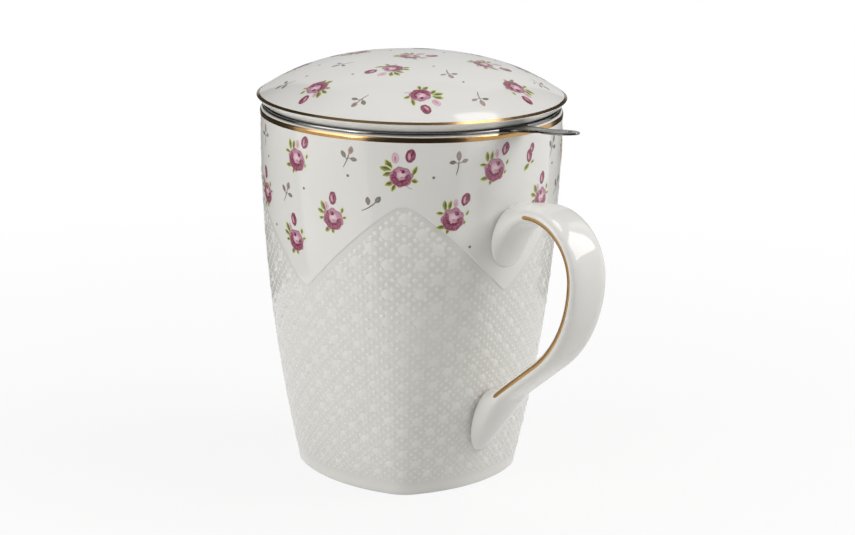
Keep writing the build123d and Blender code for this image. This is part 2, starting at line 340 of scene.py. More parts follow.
def bodyRadius(az, z):
    # axis to the outside at an azimuth in radians: four wide arcs and four corner arcs
    diagonal = math.sqrt(0.5)
    corner = bodyCorner(z) * diagonal
    side = bodySide(z)
    meet = math.radians(mug["cornerAngle"])
    sine, cosine = math.sin(meet), math.cos(meet)
    spread = sine - diagonal
    slant = sine - cosine
    scale = spread * (slant + 1) - sine * slant
    wide = (side * spread - corner * slant) / scale
    small = (side * sine - corner * (slant + 1)) / scale
    turn = np.abs((az + math.pi / 4) % (math.pi / 2) - math.pi / 4)
    sideCentre = side - wide
    reach = corner - small * diagonal
    meetAt = np.arctan2(wide * sine, sideCentre + wide * cosine)
    along = np.cos(turn) * sideCentre
    onSide = along + np.sqrt(np.maximum(along**2 - sideCentre**2 + wide**2, 0))
    along = (np.cos(turn) + np.sin(turn)) * reach
    onCorner = along + np.sqrt(np.maximum(along**2 - 2 * reach**2 + small**2, 0))
    return np.where(turn < meetAt, onSide, onCorner)


def onWall(az, z, inset=0):
    radius = bodyRadius(az, z) - inset
    return np.stack([radius * np.cos(az), radius * np.sin(az), z * np.ones_like(radius)], -1)


def bodyNormal(az, z):
    step = 1e-3
    across = onWall(az + step, z) - onWall(az - step, z)
    up = onWall(az, z + step) - onWall(az, z - step)
    normal = np.cross(across, up)
    return normal / np.linalg.norm(normal, axis=-1, keepdims=True)


def bodyPoint(az, z, lift):
    return onWall(az, z) + bodyNormal(az, z) * np.asarray(lift)[..., None]


def panelTop(az):
    # height of the zigzag: rounded peaks over the corners, valleys over the sides
    fromCorner = np.abs(np.degrees(az) % 90 - 45)
    fromSide = 45 - fromCorner
    fall = np.hypot(panel["slope"] * fromCorner, panel["peakRound"]) - panel["peakRound"]
    lift = np.hypot(panel["slope"] * fromSide, panel["valleyRound"]) - panel["slope"] * fromSide
    return panel["peak"] - fall + lift


def panelSink(az, z):
    below = smoothStep((panelTop(az) - z) / panel["edgeWidth"])
    return panel["depth"] * below * smoothStep((z - panel["footGap"]) / panel["footFade"])


def makeMugBody():
    count = mug["around"]
    az = fullTurn(count)
    top = panelTop(az)
    shoulder, wall, lip, bend = mug["shoulder"], mug["wall"], mug["lipRound"], mug["cavityTurn"]
    ring, turn, recess, fillet = mug["footRing"], mug["footTurn"], mug["footRecess"], mug["footFillet"]
    floorTop = recess + mug["floor"]
    rows = []  # inset from the outside, height, and bare or not, from under the foot to the inside

    def addRow(inset, z, bare=False):
        rows.append((inset * np.ones(count), z * np.ones(count), bare))

    underside = bodyRadius(az, 0) - ring
    for share in mug["undersideShares"]:
        addRow(ring + underside * (1 - share), recess)
    for a in quarterTurn(4):
        addRow(ring + fillet * (1 - math.sin(a)), recess - fillet * (1 - math.cos(a)))
    addRow(ring, 0.5)
    for inset, z in ((ring - 0.15, 0.12), (ring - 0.5, 0), (ring / 2, 0), (turn + 0.3, 0)):
        addRow(inset, z, True)
    for i, a in enumerate(quarterTurn(6)):
        addRow(turn * (1 - math.sin(a)), turn * (1 - math.cos(a)), i < 3)
    for share in np.linspace(0, 1, mug["panelRows"] + 1)[1:]:
        z = turn + (top - panel["edgeZone"] - turn) * share
        addRow(panelSink(az, z), z)
    for drop in panel["edgeDrops"]:
        addRow(panelSink(az, top - drop), top - drop)
    for share in np.linspace(0, 1, mug["topRows"] + 1)[1:] ** mug["topBias"]:
        addRow(0, top + (shoulder - top) * share)
    for a in quarterTurn(6)[1:]:
        addRow(lip * (1 - math.cos(a)), shoulder + lip * math.sin(a))
    addRow(wall / 2, mug["height"])
    for a in quarterTurn(6)[::-1]:
        addRow(wall - lip * (1 - math.cos(a)), shoulder + lip * math.sin(a))
    for share in np.linspace(0, 1, mug["cavityRows"] + 1)[1:]:
        addRow(wall, shoulder + (floorTop + bend - shoulder) * share)
    for a in quarterTurn(6)[1:]:
        addRow(wall + bend * (1 - math.cos(a)), floorTop + bend * (1 - math.sin(a)))
    inside = bodyRadius(az, floorTop) - wall - bend
    for share in mug["floorShares"]:
        addRow(wall + bend + inside * (1 - share), floorTop)

    points = [(0, 0, recess)]
    for inset, z, _ in rows:
        points += onWall(az, z, inset).tolist()
    points.append((0, 0, floorTop))
    faces = stitch([[0] * count] + rowNumbers(len(rows), count, 1) + [[len(points) - 1] * count])
    bare = [False, *(row[2] for row in rows), False]
    slots = [int(low and high) for low, high in zip(bare, bare[1:]) for _ in range(count)]
    piece = addMesh("mugBody", points, faces, glaze, biscuit, slots=slots)
    x, y, z = np.array(points).T
    az = np.arctan2(y, x)
    outside = np.hypot(x, y) > bodyRadius(az, z) - wall / 2
    # painted shade: 1 on the outside where the panel is fully sunk, fading to 0 above its zigzag, near the
    # foot and inside
    panelShade = np.where(outside, panelSink(az, z) / panel["depth"], 0).astype(np.float32)
    piece.data.attributes.new("panelShade", "FLOAT", "POINT").data.foreach_set("value", panelShade)
    settle(piece, "mug", "porcelain", "mug_body")


makeMugBody()


# Relief: a diamond lattice, 28 cells round, a corner of the body on every seventh column.

relief = {
    "columns": 56, "rows": 25,  # half cells round the mug and up it
    "firstRow": 6.65, "rowPitch": 3.17, "rowGrowth": 0.0335,  # heights of the half rows
    "edgeGap": 1.3, "padGap": 2.5, "footGap": 2.4,  # kept clear under the zigzag and above the foot
    "padWidth": 0.2, "padTall": 1.1, "padHeight": 0.2,  # half width as a share of a cell, and mm
    "padPower": 1.56,  # 2 is a round outline and 1 a diamond
    "padRings": [(1.0, -0.12), (0.86, 0.13), (0.66, 0.5), (0.44, 0.82), (0.22, 0.97)],
    "padSides": 12, "padUneven": 0.06, "beadSides": 6, "beadUneven": 0.18,
    "beadWidth": 0.8, "beadSpread": (0.8, 0.4), "beadHeight": 0.14, "beadSteps": 3,
    "beadRings": [(1.0, -0.2), (0.76, 0.45), (0.4, 0.88)],
}


def rowHeight(i):
    return relief["firstRow"] + relief["rowPitch"] * i + relief["rowGrowth"] * i * i


def columnAzimuth(j):
    return np.radians(45 + 360 / relief["columns"] * j)


def onPanel(az, z, gap):
    return (z < panelTop(az) - gap) & (z > relief["firstRow"] - relief["footGap"])


def scatter(name, shape, az, z, wide, tall, height, unevenness, seed):
    # one copy of the shape on every place of the panel, with X across, Y up and Z outward
    turns = []
    for normal in bodyNormal(az, z):
        out = Vector(normal).normalized()
        across = Vector((0, 0, 1)).cross(out).normalized()
        turns += Matrix((across, out.cross(across), out)).transposed().to_euler()[:]
    sizes = np.stack([wide, tall, height * np.ones(len(az))], 1) * mm
    mesh = bpy.data.meshes.new(name + "Places")
    mesh.from_pydata((bodyPoint(az, z, -panelSink(az, z)) * mm).tolist(), [], [])
    mesh.attributes.new("turn", "FLOAT_VECTOR", "POINT").data.foreach_set("vector", turns)
    mesh.attributes.new("size", "FLOAT_VECTOR", "POINT").data.foreach_set("vector", sizes.ravel())
    piece = runTree(name, addObject(name + "Places", mesh), copyTree,
                    Shape=shape, Unevenness=unevenness, Seed=seed, Finish=glaze)
    settle(piece, "mug", "porcelain")


def makeReliefPads():
    power = relief["padPower"]
    outline = []
    for a in fullTurn(relief["padSides"]):
        scale = (abs(math.cos(a)) ** power + abs(math.sin(a)) ** power) ** (-1 / power)
        outline.append((scale * math.cos(a), scale * math.sin(a)))
    cells = product(range(relief["rows"]), range(relief["columns"]))
    row, column = np.array([(i, j) for i, j in cells if (i + j) % 2 == 0]).T
    keep = onPanel(columnAzimuth(column), rowHeight(row), relief["padGap"])
    row, column = row[keep], column[keep]
    az, z = columnAzimuth(column), rowHeight(row)
    wide = 4 * math.pi * bodyRadius(az, z) / relief["columns"] * relief["padWidth"]
    tall = (rowHeight(row + 1) - rowHeight(row - 1)) * relief["padWidth"] * relief["padTall"]
    shape = unitShape("padShape", outline, relief["padRings"])
    scatter("reliefPads", shape, az, z, wide, tall, relief["padHeight"], relief["padUneven"], seed=5)


def makeReliefBeads():
    # double rows of beads along both diagonals, each place once
    outline = [(math.cos(a), math.sin(a)) for a in fullTurn(relief["beadSides"])]
    shape = unitShape("beadShape", outline, relief["beadRings"])
    steps = relief["beadSteps"]
    step = 1 / steps
    seen = {}
    ticks = range(-2 * steps, relief["rows"] * steps)
    for lean, band, side, tick in product((1, -1), range(1, relief["columns"], 2), (-1, 1), ticks):
        row, column = tick * step, band + side * step + lean * tick * step
        seen[round(row * steps), round(column * steps) % (relief["columns"] * steps)] = row, column
    row, column = np.array(sorted(seen.values())).T
    az, z = columnAzimuth(column), rowHeight(row)
    keep = onPanel(az, z, relief["edgeGap"])
    az, z = az[keep], z[keep]
    least, growth = relief["beadSpread"]
    wide = relief["beadWidth"] * (least + growth * z / panel["peak"])
    for name, half in (("reliefBeadsFront", np.sin(az) < 0), ("reliefBeadsBack", np.sin(az) >= 0)):
        scatter(name, shape, az[half], z[half], wide[half], wide[half], relief["beadHeight"],
                relief["beadUneven"], seed=11)


makeReliefPads()
makeReliefBeads()


# The handle: a ribbon on a path of two arcs and a straight run, flared into a pad at each end.

handle = {
    "width": 13.3, "thickness": 4.4, "fullness": 0.80, "padFullness": 0.56,
    "height": 84.85, "crownAt": 53.9, "crown": 16.0, "sweep": 33.4, "sweepAngle": 51.3, "run": 14.5,
    "upperPad": (75.8, 9.2, 15.6), "lowerPad": (20.3, 9.9, 11.8),  # height, half length, width
    "sink": 0.8, "sinkFade": 8, "flare": 2.2, "turnIn": 1.3, "tuck": 1.7, "tuckShow": 0.6, "padBias": 1.5,
    "quarter": 12, "padRows": 46, "crownRows": 26, "sweepRows": 30, "runRows": 8,
    "goldOut": 0.2, "goldIn": 1.0, "goldLift": 0.03, "goldSteps": 8, "goldReach": (8, 12),
    "goldStart": 6, "goldEnd": 9, "goldTip": 3,  # in rows
    "goldBlunt": 0.15,  # the tip's width as a share of the line's
}


def ribbonLoop(x, z, heading, halfWidth, half, fullness):
    # closed section across the ribbon, a Bezier quarter at a time
    up = np.cross((math.cos(heading), 0, math.sin(heading)), (0, 1, 0))
    loop = []
    quarters = ((halfWidth, half), (-halfWidth, half), (-halfWidth, -half), (halfWidth, -half))
    for index, (wide, tall) in enumerate(quarters):
        for i in range(handle["quarter"]):
            t = i / handle["quarter"] if index % 2 == 0 else 1 - i / handle["quarter"]
            a, b, c, d = (1 - t) ** 3, 3 * t * (1 - t) ** 2, 3 * t * t * (1 - t), t**3
            across = wide * (a + b + c * fullness)
            outward = tall * (b * fullness + c + d)
            loop.append(np.array([x, across, z]) + outward * up)
    return loop


def padLoops(pad, freeAt, heading, wallHeading):
    # a hollow flare from the free ribbon to the wall, tucked in at its edge like soft clay
    padHeight, padHalf, padWidth = pad
    wallAt = float(bodySide(padHeight))
    slope = math.tan(heading)
    half, wide = handle["thickness"] / 2, handle["width"] / 2
    drop = padHeight - freeAt[1] - slope * (wallAt - freeAt[0])
    reach = freeAt[0] - wallAt
    loops = []
    for i in range(handle["padRows"]):
        near = i / handle["padRows"]
        out = reach * near ** handle["padBias"] - handle["sink"] * (1 - near) ** handle["sinkFade"]
        way = max(out / reach, 0)
        share = (1 - way) ** handle["flare"]
        turned = (1 - way) ** handle["turnIn"]
        tucked = min(max(handle["tuckShow"] - out / handle["tuck"], 0), 1)
        shrink = handle["tuck"] * (1 - math.sqrt(1 - tucked * tucked))
        loops.append(ribbonLoop(
            wallAt + out,
            freeAt[1] + slope * (wallAt + max(out, 0) - freeAt[0]) + drop * share,
            heading + (wallHeading - heading) * turned,
            wide + (padWidth / 2 - wide) * share - shrink,
            half + (padHalf - half) * share - shrink,
            handle["fullness"] + (handle["padFullness"] - handle["fullness"]) * (1 - way),
        ))
    return loops


def wallLean(pad):
    # how far the body's side leans out over the length of a pad, in radians
    low, high = pad[0] - pad[1], pad[0] + pad[1]
    return math.atan2(float(bodySide(high) - bodySide(low)), high - low)


def ribbonStations():
    # x, z and heading down the free ribbon
    crown, sweep = handle["crown"], handle["sweep"]
    centreX, centreZ = handle["crownAt"], handle["height"] - crown
    stations = []
    for i in range(handle["crownRows"]):
        turned = math.pi / 2 * i / handle["crownRows"]
        stations.append((centreX + crown * math.sin(turned), centreZ + crown * math.cos(turned), -turned))
    centreX += crown - sweep
    for i in range(handle["sweepRows"] + 1):
        turned = math.radians(handle["sweepAngle"]) * i / handle["sweepRows"]
        stations.append((centreX + sweep * math.cos(turned), centreZ - sweep * math.sin(turned),
                         -math.pi / 2 - turned))
    x, z, heading = stations[-1]
    for i in range(1, handle["runRows"] + 1):
        out = handle["run"] * i / handle["runRows"]
        stations.append((x + out * math.cos(heading), z + out * math.sin(heading), heading))
    return stations


def makeHandle():
    stations = ribbonStations()
    upper, lower = handle["upperPad"], handle["lowerPad"]
    half, wide = handle["thickness"] / 2, handle["width"] / 2
    loops = padLoops(upper, stations[0][:2], 0.0, -wallLean(upper))
    loops += [ribbonLoop(x, z, angle, wide, half, handle["fullness"]) for x, z, angle in stations]
    loops += padLoops(lower, stations[-1][:2], stations[-1][2], -math.pi - wallLean(lower))[::-1]
    rows = rowNumbers(len(loops), len(loops[0]))
    points = [point for loop in loops for point in loop]
    piece = addMesh("mugHandle", points, stitch(rows) + [rows[0][::-1], rows[-1]], glaze)
    settle(piece, "mug", "porcelain", "mug_handle")
    return loops


def makeHandleGold(loops):
    # a line along each edge of the ribbon, a little to its inner side, with rounded ends
    out, into = handle["goldOut"], handle["goldIn"]
    centre = (into - out) / 2
    steps = np.linspace(-out, into, handle["goldSteps"] + 1)
    before, after = handle["goldReach"]  # ribbon points either side of the edge
    first, last = handle["padRows"] - handle["goldStart"], len(loops) - handle["padRows"] + handle["goldEnd"]
    for name, middle, way in (("handleGoldRight", 0, -1), ("handleGoldLeft", 2 * handle["quarter"], 1)):
        points = []
        for row in range(first, last):
            loop = np.array(loops[row])
            edge = np.array([loop[(middle + way * k) % len(loop)] for k in range(-before, after + 1)])
            along = np.concatenate([[0], np.cumsum(np.linalg.norm(np.diff(edge, axis=0), axis=1))])
            along -= along[before]
            fromEnd = min((row - first) / handle["goldTip"], (last - 1 - row) / handle["goldTip"], 1)
            narrow = max(math.sqrt(1 - (1 - fromEnd) ** 2), handle["goldBlunt"])
            path = np.array(loops[row + 1][middle]) - np.array(loops[row - 1][middle])
            for step in centre + (steps - centre) * narrow:
                spot, ahead = (np.array([np.interp(at, along, edge[:, axis]) for axis in range(3)])
                               for at in (step, step + 0.1))
                outward = np.cross(ahead - spot, path) * way
                points.append(spot + outward / np.linalg.norm(outward) * handle["goldLift"])
        faces = stitch(rowNumbers(last - first, len(steps)), closed=False, flip=way < 0)
        settle(addMesh(name, points, faces, gold), "mug", "porcelain")


makeHandleGold(makeHandle())


# The lid: a low dome with a rolled-under edge, a flat seat and a spigot.

lid = {
    "radius": 44.2, "edge": 109.75, "rise": 11.14, "power": 2.75, "seat": 106.85, "seatOutside": 40.7,
    "seatBreaks": (38.6, 36.4, 35.6), "bandBulge": 0.3, "spigotOutside": 35.3, "spigotInside": 32.7,
    "spigotLow": 99.35, "spigotTurn": 0.8, "spigotRoot": 0.4, "spigotStraight": 3, "wall": 3.2,
    "hollowShares": (1, 0.96, 0.9, 0.8, 0.65, 0.5, 0.35, 0.2, 0),
    "around": 288, "domeRows": 60, "domeBias": 0.9, "bandRows": 10,
}
goldLines = {"lift": 0.035, "mugLow": 104.65, "mugTurns": (10, 20, 30, 39), "lidIn": 43.35, "lidOut": 44.17}


def domeHeight(radius):
    share = np.minimum(np.asarray(radius, float) / lid["radius"], 1)
    return lid["edge"] + lid["rise"] * (1 - share ** lid["power"])


def lidPoint(az, radius, lift):
    step = 1e-2
    slope = (domeHeight(radius + step) - domeHeight(radius - step)) / (2 * step)
    length = np.hypot(slope, 1)
    radial = radius - slope / length * lift
    return np.stack([radial * np.cos(az), radial * np.sin(az), domeHeight(radius) + lift / length], -1)


def makeLid():
    edge, seat, seatOut, bulge = lid["edge"], lid["seat"], lid["seatOutside"], lid["bandBulge"]
    outside, inside = lid["spigotOutside"], lid["spigotInside"]
    turn, low, straight = lid["spigotTurn"], lid["spigotLow"], lid["spigotStraight"]
    profile = [(0, float(domeHeight(0)))]
    for share in np.linspace(0, 1, lid["domeRows"] + 1)[1:]:
        radius = lid["radius"] * math.sin(share * math.pi / 2) ** lid["domeBias"]
        profile.append((radius, float(domeHeight(radius))))
    middle = ((seatOut + lid["radius"]) / 2 + bulge, (seat + edge) / 2 - bulge / 2)
    for t in np.linspace(0, 1, lid["bandRows"] + 1)[1:]:
        # quadratic through the widest line, the middle of the band and the seat
        a, b, c = (1 - t) * (1 - 2 * t), 4 * t * (1 - t), t * (2 * t - 1)
        profile.append((a * lid["radius"] + b * middle[0] + c * seatOut, a * edge + b * middle[1] + c * seat))
    seatRows = range(len(profile) - 1, len(profile) + len(lid["seatBreaks"]))
    profile += [(radius, seat) for radius in (*lid["seatBreaks"], outside)]
    profile += [(outside, seat - lid["spigotRoot"]), (outside, low + straight)]
    footStart = len(profile)
    profile += arcPoints((outside - turn, low + turn), turn, 0, -90, 5)
    profile += arcPoints((inside + turn, low + turn), turn, -90, -180, 5)
    footRows = range(footStart, len(profile) - 1)
    profile.append((inside, low + straight))
    for share in lid["hollowShares"]:
        profile.append((inside * share, float(domeHeight(inside * share)) - lid["wall"]))
    points, faces = spinProfile(profile[::-1], lid["around"])
    # the seat and the spigot's foot are wiped bare
    bare = [row in seatRows or row in footRows for row in range(len(profile) - 1)]
    slots = [int(one) for one in bare[::-1] for _ in range(lid["around"])]
    piece = addMesh("lidDome", points, faces, glaze, biscuit, slots=slots)
    settle(piece, "lid", "porcelain", "lid")


def makeGoldLines():
    # open bands of gold that hug the mug's lip and the lid's edge
    lift, lip = goldLines["lift"], mug["lipRound"]
    mugLine = [(float(bodyCorner(z)) + lift, z) for z in np.linspace(goldLines["mugLow"], mug["shoulder"], 4)]
    for a in np.radians(goldLines["mugTurns"]):
        x, z = mug["rim"] - lip, mug["shoulder"]
        mugLine.append((x + (lip + lift) * math.cos(a), z + (lip + lift) * math.sin(a)))
    lidLine = [lidPoint(0.0, radius, lift)[[0, 2]]
               for radius in np.linspace(goldLines["lidOut"], goldLines["lidIn"], 9)]
    for name, body, profile in (("mugGoldLine", "mug", mugLine), ("lidGoldLine", "lid", lidLine)):
        settle(addMesh(name, *spinProfile(profile, lid["around"]), gold), body, "porcelain")


makeLid()
makeGoldLines()


# Printed rosebuds and sprigs. A flower is drawn in its own plane, in millimetres, with Y towards
# its top, as small oval patches and strokes that lie one over the other.

inkColours = {
    "plum": (128, 44, 74), "rose": (162, 84, 112), "pink": (206, 158, 176), "blush": (232, 206, 214),
    "wine": (92, 26, 48), "mauve": (170, 116, 138), "leaf": (106, 114, 42), "moss": (80, 84, 34),
    "lime": (170, 176, 98), "halo": (222, 224, 186), "taupe": (128, 114, 104), "stone": (142, 132, 124),
    "clay": (178, 150, 142), "ash": (116, 114, 112),
}
flowers = {
    # leaves: x, y, length, width, turn; buds: x, y, wide, tall, turn, pale; bloom: wide, tall, eye, lean;
    # strokes: path, width, colour; blots: as in blotPatch
    "fullRoses": {
        "leaves": [(-2.4, 2.2, 3.0, 1.7, 128), (-2.6, 1.8, 3.2, 1.5, 165), (-2.5, 1.2, 2.6, 1.3, 200),
                   (-2.0, -1.6, 2.5, 1.3, 196), (-1.5, -2.0, 2.3, 1.1, 242), (3.0, 0.2, 3.0, 1.1, 62),
                   (2.7, -1.0, 1.9, 1.2, -12)],
        "strokes": [([(1.2, -2.4), (2.3, -3.2), (3.0, -3.4)], 0.16, "stone")],
        "buds": [(-1.45, 5.2, 1.0, 1.55, 4, True), (2.7, 5.8, 1.4, 1.9, -14)],
        "bloom": (3.15, 2.8, (0.6, 1.45), 0),
    },
    "uprightRoses": {
        "leaves": [(-2.5, 1.6, 3.3, 1.5, 122), (-2.9, 1.0, 2.6, 1.2, 160), (-3.0, -0.2, 1.7, 0.9, 196),
                   (-0.8, -2.4, 2.3, 1.3, 228), (0.0, -2.5, 1.6, 1.0, 285), (2.6, 2.3, 1.7, 0.9, 78),
                   (3.0, 1.0, 1.3, 0.7, 20)],
        "buds": [(-2.3, 3.5, 0.65, 1.1, 22, True), (-0.4, 6.0, 1.2, 1.95, 2)],
        "bloom": (3.25, 3.1, (-0.3, 1.6), 0),
    },
    "tiltedRoses": {
        "leaves": [(-2.2, 2.6, 3.0, 1.3, 94), (-1.2, 2.8, 2.7, 1.1, 76), (-2.6, 1.9, 2.1, 0.9, 172),
                   (-1.9, -1.8, 2.8, 1.2, 184), (-1.2, -2.3, 1.8, 0.9, 250), (3.9, 0.8, 1.5, 0.7, 64),
                   (3.6, -0.6, 1.2, 0.6, 250)],
        "buds": [(0.8, 4.5, 0.7, 1.2, -6, True), (3.7, 5.4, 1.25, 1.9, -22)],
        "bloom": (3.3, 3.3, (1.2, 1.6), -8),
    },
    "doubleBuds": {
        "leaves": [(-0.4, -2.6, 2.6, 1.4, 214), (0.4, -2.6, 1.5, 0.8, 20)],
        "buds": [(-0.3, -0.3, 1.2, 2.0, -4), (0.9, 1.7, 0.95, 1.4, -14)],
    },
    "threeLeafSprigs": {
        "strokes": [([(-1.7, -2.9), (-0.5, -1.0), (0.2, 0.6), (0.7, 2.2)], 0.34, "taupe"),
                    ([(-0.4, -0.9), (-1.0, 0.2)], 0.26, "taupe"),
                    ([(-0.1, -0.2), (1.0, -0.5)], 0.26, "taupe")],
        "blots": [(0.9, 1.9, 0.78, 1.15, -18, "clay", "taupe", 0.45),
                  (-1.4, 0.8, 0.68, 1.1, 32, "taupe", "stone", 0.5),
                  (1.6, -0.6, 0.62, 1.0, 78, "taupe", "stone", 0.5)],
    },
    "crossSprigs": {
        "strokes": [([(-0.8, -3.2), (-0.2, -1.2), (0.0, 0.8)], 0.34, "taupe"),
                    ([(-1.2, 0.3), (0.0, 0.0), (1.3, 0.4)], 0.26, "stone")],
        "blots": [(0.0, 2.1, 0.74, 1.35, 0, "stone", "clay", 0.4),
                  (-1.75, 0.4, 0.56, 1.0, 92, "ash", "taupe", 0.5),
                  (1.75, 0.6, 0.54, 0.95, -72, "stone", "clay", 0.5)],
    },
    "twoLeafSprigs": {
        "strokes": [([(-2.4, -2.2), (-0.8, -1.2), (0.8, 0.2), (1.9, 1.7)], 0.36, "taupe")],
        "blots": [(-0.9, 0.9, 0.72, 1.15, 14, "taupe", "stone", 0.5),
                  (1.9, 1.7, 0.75, 1.05, -32, "ash", "stone", 0.35)],
    },
    "dots": {"blots": [(0, 0, 0.42, 0.4, 0, "ash", "ash", 0.0, 0, 0.1)]},
}
flowers["heart"] = flowers["fullRoses"]
prints = {
    "lift": 0.015, "layer": 0.001, "sway": 6,  # above the glaze, from patch to patch, and degrees either way
    "corners": ((2, 28), (0.8, 18), (0, 12)),  # half size of a patch and its number of corners
    "rings": (0.45, 0.8, 1.0), "toneBias": 1.5, "toneJitter": 0.12, "pointing": 0.55, "scallop": 0.06,
    "strokeSteps": 4, "strokeEnd": 0.45,
}
bodyPrint = {
    # azimuth from the handle and height
    "fullRoses": [(-46.5, 95.3), (43.0, 95.3), (133.0, 95.6), (-137.5, 95.3)],
    "tiltedRoses": [(-90.5, 96.5), (-10.6, 96.1), (-27.0, 83.1), (76.0, 96.5), (166.5, 96.1), (-179.0, 84.1),
                    (61.5, 83.5), (151.0, 83.8)],
    "uprightRoses": [(-73.4, 81.6), (-94.0, 72.9), (-115.8, 83.3), (16.8, 84.9), (106.4, 83.3), (86.0, 73.3),
                     (176.0, 73.1), (-160.0, 82.9)],
    "doubleBuds": [(6.9, 98.8), (97.0, 98.5), (-173.0, 98.8)],
    "threeLeafSprigs": [(-66.3, 99.8), (-97.9, 86.3), (23.5, 99.1), (113.5, 99.5), (-156.5, 99.3),
                        (82.0, 85.5), (-128.0, 86.8)],
    "crossSprigs": [(-25.4, 98.8), (-114.4, 100.0), (59.5, 99.1), (149.0, 99.1), (171.5, 86.1)],
    "twoLeafSprigs": [(-57.6, 87.1), (31.7, 86.5), (122.6, 86.8), (-147.5, 87.0)],
    "dots": [(-66.5, 94.6), (-87.2, 88.8), (-111.8, 94.5), (-108.4, 75.3), (-34.7, 95.1), (24.4, 94.0),
             (-19.5, 74.8), (58.0, 94.1), (90.5, 89.1), (70.5, 75.5), (115.0, 94.0), (147.5, 94.3),
             (161.0, 75.5), (179.5, 89.0), (-158.0, 94.0), (-124.5, 94.8), (-147.0, 75.8)],
}
lidPrint = {
    # azimuth from the handle, radius and turn
    "fullRoses": [(-39.0, 33.0, 35), (-61.5, 17.0, -30), (62.5, 33.0, 20), (165.5, 32.8, -15),
                  (33.9, 20.5, 40)],
    "tiltedRoses": [(14.8, 33.4, 14), (114.0, 33.0, -10), (126.5, 19.5, 30)],
    "uprightRoses": [(-93.3, 34.0, 5), (-148.0, 33.2, -8), (-166.0, 19.0, 25)],
    "threeLeafSprigs": [(-65.8, 36.6), (-116.5, 37.0), (88.0, 36.8), (140.0, 36.6), (-169.5, 36.6)],
    "crossSprigs": [(-11.9, 35.6), (38.0, 36.4), (-112.6, 20.8), (-15.5, 21.5), (79.5, 21.0), (172.0, 20.5)],
    "dots": [(-112.9, 31.4), (-12.0, 27.4), (-19.0, 14.6), (34.5, 35.2), (62.0, 24.6), (100.0, 26.8),
             (141.0, 29.0), (-168.5, 28.6), (-128.0, 26.4), (-85.0, 24.6), (88.0, 12.0), (170.0, 11.6)],
    "heart": [(-73.2, 1.5, 160)],
}


def leafBlots(x, y, length, width, turn):
    # a leaf that grows from x, y towards turn, in degrees from the right
    dx, dy = math.cos(math.radians(turn)), math.sin(math.radians(turn))
    x, y, turn, off = x + dx * length / 2, y + dy * length / 2, turn - 90, width * 0.14
    return [(x, y, width * 0.5 + 0.28, length * 0.5 + 0.25, turn, "halo", "halo", 0.6),
            (x, y, width * 0.5, length * 0.5, turn, "lime", "leaf", 0.8, 0, 0.08),
            (x + dy * off, y - dx * off, width * 0.2, length * 0.4, turn, "leaf", "moss", 0.9, 0, 0.1)]


def budBlots(x, y, wide, tall, turn, pale=False):
    if pale:
        return [(x, y, wide, tall, turn, "pink", "blush", 0.15, 0, 0.06),
                (x, y - tall * 0.1, wide * 0.3, tall * 0.5, turn, "rose", "pink", 0.5)]
    return [(x, y, wide, tall, turn, "plum", "rose", 0.15, 0, 0.06),
            (x - wide * 0.25, y - tall * 0.1, wide * 0.28, tall * 0.5, turn + 12, "pink", "pink", 0.5),
            (x + wide * 0.3, y + tall * 0.2, wide * 0.22, tall * 0.45, turn - 10, "wine", "plum", 0.5)]


def bloomBlots(wide, tall, eye, lean):
    # an open rose: scalloped petals, dark below, a pale heart and a dark eye
    blots = [(0, 0, wide, tall, lean, "mauve", "pink", 0.0, 7, 0.05)]
    petals = ((186, 0.95), (214, 1.05), (243, 1.1), (272, 1.12), (301, 1.1), (330, 1.05), (356, 0.8))
    for turn, size in petals:
        a = math.radians(turn + lean)
        blots.append((math.cos(a) * wide * 0.66, math.sin(a) * tall * 0.66, wide * 0.36 * size,
                      tall * 0.25 * size, turn + lean + 90, "plum", "rose", 0.1, 0, 0.1, -0.3))
    for turn in (218, 282, 340):
        a = math.radians(turn + lean)
        blots.append((math.cos(a) * wide * 0.45, math.sin(a) * tall * 0.42, wide * 0.3, tall * 0.12,
                      turn + lean + 90, "wine", "plum", 0.5, 0, 0.12))
    return blots + [
        (-wide * 0.5, tall * 0.3, wide * 0.16, tall * 0.34, 24 + lean, "plum", "rose", 0.4, 0, 0.1),
        (wide * 0.02, tall * 0.18, wide * 0.42, tall * 0.4, lean, "pink", "blush", 0.1, 5, 0.05),
        (wide * 0.2, -tall * 0.12, wide * 0.28, tall * 0.1, -20 + lean, "rose", "pink", 0.5),
        (eye[0], eye[1], wide * 0.19, tall * 0.19, 0, "plum", "wine", 0.0, 0, 0.12),
        (eye[0] - 0.5, eye[1] + 0.3, wide * 0.08, tall * 0.16, 30, "rose", "rose", 0.5),
    ]


def rampColour(first, second, share):
    a, b = np.array(toLinear(inkColours[first])), np.array(toLinear(inkColours[second]))
    return a + (b - a) * share


def blotPatch(x, y, wide, tall, turn, edge, middle, point=0.0, lobes=0, wobble=0.05, shift=0.0):
    # an oval, pointed or scalloped patch: wide and tall are half sizes, turn is in degrees
    big = max(wide, tall)
    count = next(corners for size, corners in prints["corners"] if big > size)
    angles = fullTurn(count)
    outX, outY = np.cos(angles), np.sin(angles)
    outX = outX * (1 - point * prints["pointing"] * outY * outY)
    if lobes:
        swing = 1 + prints["scallop"] * np.cos(lobes * angles + luck.uniform(0, 6))
        outX, outY = outX * swing, outY * swing
    rough = 1 + wobble * luck.uniform(-1, 1, count)
    px, py, colours = [0.0], [0.0], [rampColour(middle, edge, 0.0)]
    spread = prints["toneJitter"]
    for ring in prints["rings"]:
        px += list(outX * rough * ring)
        py += list(outY * rough * ring)
        for jitter in luck.uniform(-spread, spread, count):
            share = ring ** prints["toneBias"] + jitter
            colours.append(rampColour(middle, edge, min(1, max(0, share))))
    px, py = np.array(px), np.array(py)
    py = py + shift * (1 - np.hypot(px, py))
    px, py = px * wide, py * tall
    a = math.radians(turn)
    faces = stitch([[0] * count] + rowNumbers(3, count, 1), flip=True)
    return (x + px * math.cos(a) - py * math.sin(a), y + px * math.sin(a) + py * math.cos(a), colours, faces)


